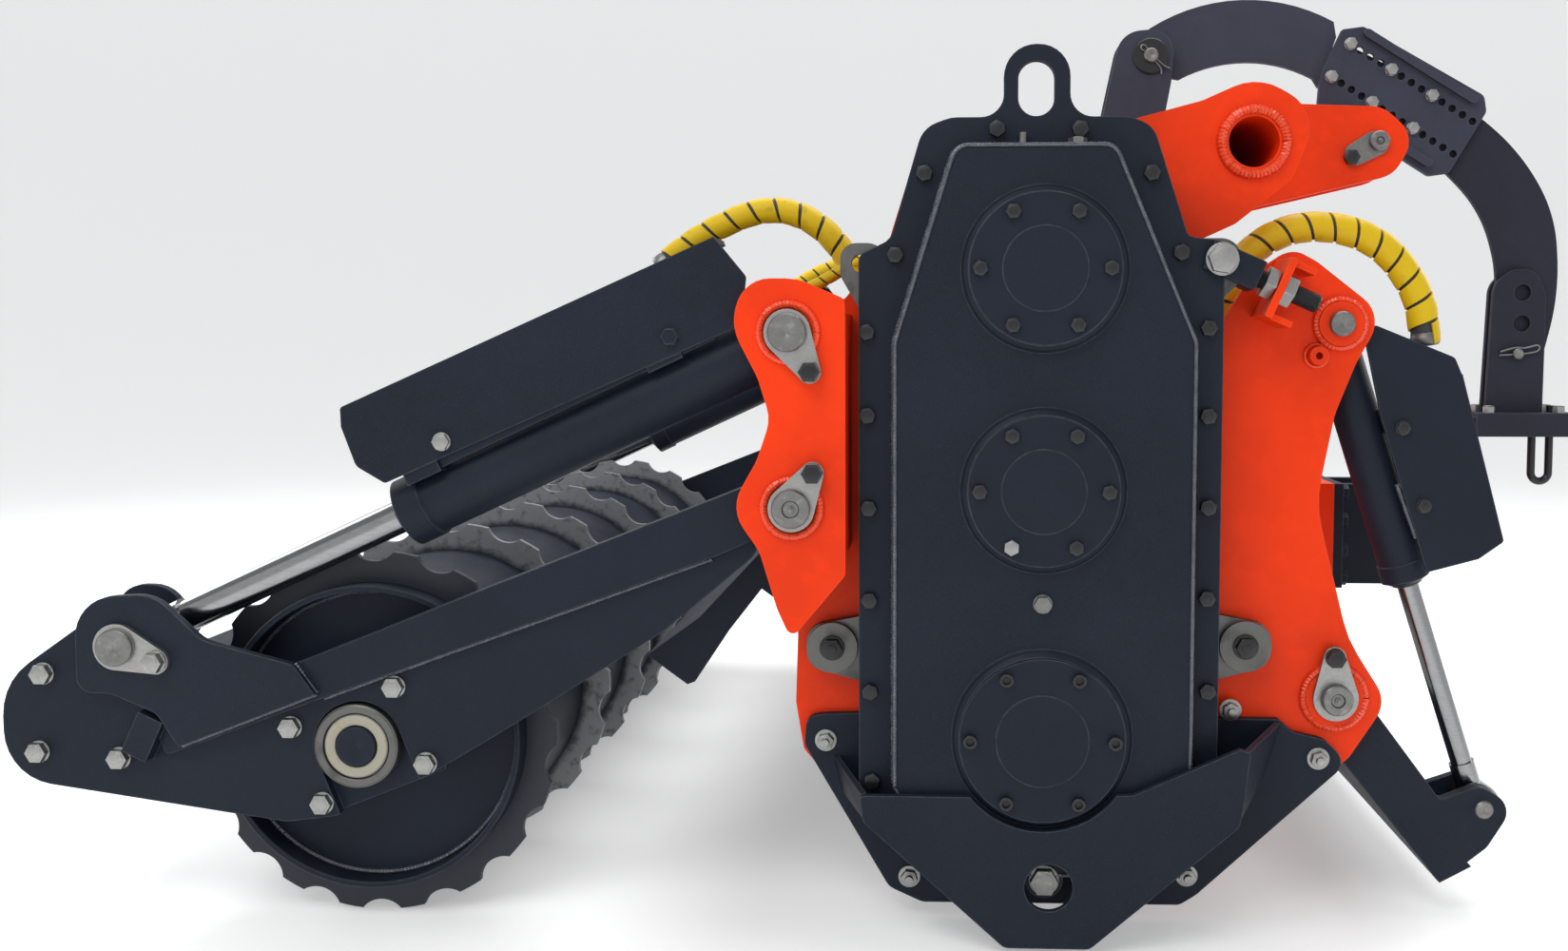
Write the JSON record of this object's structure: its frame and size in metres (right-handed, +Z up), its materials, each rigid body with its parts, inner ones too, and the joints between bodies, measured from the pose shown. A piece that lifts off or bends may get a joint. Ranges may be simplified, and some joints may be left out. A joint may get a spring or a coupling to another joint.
{
  "type": "stump grinder",
  "caption": "Tractor-mounted stump grinder with a side gear drive, toothed rotor, hinged front hood, notched depth roller on hydraulic arms and driveline support arm.",
  "frame": {"origin": "on the ground, below the middle of the machine's length and width", "axes": "+X towards the tractor, +Y to the far side across the machine, +Z up"},
  "size_m": [3.003, 2.238, 1.7511],
  "materials": {
    "charcoal_paint": "satin",
    "orange_paint": "satin",
    "zinc_plate": "zinc plated",
    "bare_steel": "bare",
    "black_steel": "black oxide",
    "chrome_rod": "polished",
    "hose_guard": "matte"
  },
  "bodies": {
    "frame": {"side_plate_near": "orange_paint", "side_plate_far": "orange_paint", "chamber_shell": "charcoal_paint", "front_beam": "orange_paint", "lower_plate_near": "charcoal_paint", "lower_plate_far": "charcoal_paint", "guard_near": "charcoal_paint", "guard_far": "charcoal_paint", "cross_tube": "orange_paint", "rear_deflector": "charcoal_paint", "top_link_lugs": "orange_paint", "top_link_pin": "zinc_plate", "link_bracket_near": "charcoal_paint", "link_bracket_far": "charcoal_paint", "lower_link_pins": "zinc_plate", "rear_bracket_near": "orange_paint", "rear_bracket_far": "orange_paint", "frame_pins": "zinc_plate", "front_pins": "zinc_plate", "lock_plates": "zinc_plate", "plate_bolts": "zinc_plate", "gearbox_case": "charcoal_paint", "gearbox_cover": "charcoal_paint", "bearing_cover_upper": "charcoal_paint", "bearing_cover_middle": "charcoal_paint", "bearing_cover_lower": "charcoal_paint", "case_bolts": "black_steel", "cover_bolts": "black_steel", "gearbox_fittings": "zinc_plate", "case_clamps": "bare_steel", "far_bearing_cover": "charcoal_paint", "tension_link": "zinc_plate", "bevel_box": "charcoal_paint", "shaft_tubes": "charcoal_paint", "hoses": "hose_guard", "arm_bracket": "charcoal_paint"},
    "rear_arms": {"rear_arm_near": "charcoal_paint", "rear_arm_far": "charcoal_paint", "rear_rod_pins": "zinc_plate", "roller_bearings": "bare_steel", "scraper_beam": "charcoal_paint"},
    "roller": {"roller_drum": "charcoal_paint", "roller_rings": "charcoal_paint"},
    "rear_barrels": {"rear_barrels": "charcoal_paint", "rear_cylinder_guards": "charcoal_paint"},
    "rear_rods": {"rear_rods": "chrome_rod"},
    "hood": {"hood": "charcoal_paint"},
    "front_barrels": {"front_barrels": "charcoal_paint", "front_cylinder_guards": "charcoal_paint"},
    "front_rods": {"front_rods": "chrome_rod"},
    "rotor": {"rotor": "charcoal_paint", "rotor_tools": "bare_steel"},
    "idler": {"idler_gear": "bare_steel"},
    "upper_shaft": {"upper_shaft": "bare_steel"},
    "input_shaft": {"input_shaft": "bare_steel"},
    "support_arm": {"support_arm": "charcoal_paint", "support_bolts": "zinc_plate"},
    "arm_extension": {"arm_extension": "charcoal_paint"},
    "arm_foot": {"arm_foot": "charcoal_paint", "foot_hook": "zinc_plate"}
  },
  "joints": [
    {"name": "roller_lift", "type": "hinge", "parent": "frame", "child": "rear_arms", "pos_m": [-0.183, 0, 0.708], "axis": [0, 1, 0], "range_deg": [-5, 15]},
    {"name": "rear_cylinder_swing", "type": "hinge", "parent": "frame", "child": "rear_barrels", "pos_m": [-0.188, 0, 0.982], "axis": [0, 1, 0], "range_deg": [-4.64, 13.89]},
    {"name": "rear_cylinder_stroke", "type": "slide", "parent": "rear_barrels", "child": "rear_rods", "axis": [-0.9074, 0, -0.4202], "range_m": [-0.0678, 0.0228]},
    {"name": "roller_spin", "type": "hinge", "parent": "rear_arms", "child": "roller", "pos_m": [-0.904, 0, 0.308], "axis": [0, 1, 0], "continuous": true},
    {"name": "hood_lift", "type": "hinge", "parent": "frame", "child": "hood", "pos_m": [0.701, 0, 0.38], "axis": [0, -1, 0], "range_deg": [-6, 20]},
    {"name": "front_cylinder_swing", "type": "hinge", "parent": "frame", "child": "front_barrels", "pos_m": [0.699, 0, 0.997], "axis": [0, -1, 0], "range_deg": [-1.79, 5.92]},
    {"name": "front_cylinder_stroke", "type": "slide", "parent": "front_barrels", "child": "front_rods", "axis": [0.3053, 0, -0.9523], "range_m": [-0.0729, 0.0221]},
    {"name": "rotor_spin", "type": "hinge", "parent": "frame", "child": "rotor", "pos_m": [0.21, 0, 0.344], "axis": [0, 1, 0], "continuous": true},
    {"name": "idler_spin", "type": "hinge", "parent": "frame", "child": "idler", "pos_m": [0.21, 0, 0.736], "axis": [0, 1, 0], "continuous": true},
    {"name": "upper_shaft_spin", "type": "hinge", "parent": "frame", "child": "upper_shaft", "pos_m": [0.21, 0, 1.08], "axis": [0, 1, 0], "continuous": true},
    {"name": "input_spin", "type": "hinge", "parent": "frame", "child": "input_shaft", "pos_m": [0.21, 0, 1.08], "axis": [1, 0, 0], "continuous": true},
    {"name": "support_swing", "type": "hinge", "parent": "frame", "child": "support_arm", "pos_m": [0.521, 0.122, 1.621], "axis": [0, -1, 0], "range_deg": [-5, 30]},
    {"name": "support_reach", "type": "slide", "parent": "support_arm", "child": "arm_extension", "axis": [0.8453, 0, -0.5344], "range_m": [-0.02, 0.11]},
    {"name": "foot_fold", "type": "hinge", "parent": "arm_extension", "child": "arm_foot", "pos_m": [1.372, 0.122, 0.939], "axis": [0, -1, 0], "range_deg": [-25, 60]}
  ],
  "couplings": [
    {"joint": "rear_cylinder_swing", "follows": "roller_lift", "ratio": 0.925},
    {"joint": "rear_cylinder_stroke", "follows": "roller_lift", "m_per_rad": -0.258},
    {"joint": "front_cylinder_swing", "follows": "hood_lift", "ratio": 0.295},
    {"joint": "front_cylinder_stroke", "follows": "hood_lift", "m_per_rad": -0.208},
    {"joint": "idler_spin", "follows": "rotor_spin", "ratio": -1.0417},
    {"joint": "upper_shaft_spin", "follows": "rotor_spin", "ratio": 1.3158},
    {"joint": "input_spin", "follows": "rotor_spin", "ratio": 1.3158}
  ]
}
